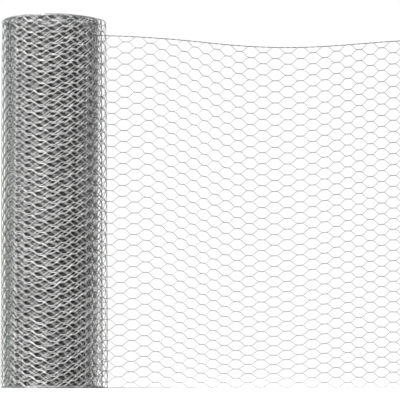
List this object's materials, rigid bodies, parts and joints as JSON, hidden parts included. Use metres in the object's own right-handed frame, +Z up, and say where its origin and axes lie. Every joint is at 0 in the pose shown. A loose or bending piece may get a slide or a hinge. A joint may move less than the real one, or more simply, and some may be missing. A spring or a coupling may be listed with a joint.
{
  "type": "roll of chicken wire",
  "caption": "Standing roll of galvanised hexagonal wire netting, wound round an open bore, with its free end drawn off as a mesh fence.",
  "frame": {"origin": "on the axis of the roll's bore, at the floor that it stands on", "axes": "+Z up along the bore, +X the way the free end is drawn off, +Y towards the side it leaves the roll from"},
  "size_m": [1.0606, 0.3773, 0.9144],
  "materials": {
    "galvanised_wire": "dull galvanised zinc"
  },
  "bodies": {
    "root": {"wound_roll": "galvanised_wire", "drawn_netting_1": "galvanised_wire", "drawn_netting_2": "galvanised_wire", "drawn_netting_3": "galvanised_wire", "drawn_netting_4": "galvanised_wire", "drawn_netting_5": "galvanised_wire", "drawn_netting_6": "galvanised_wire"}
  },
  "joints": []
}
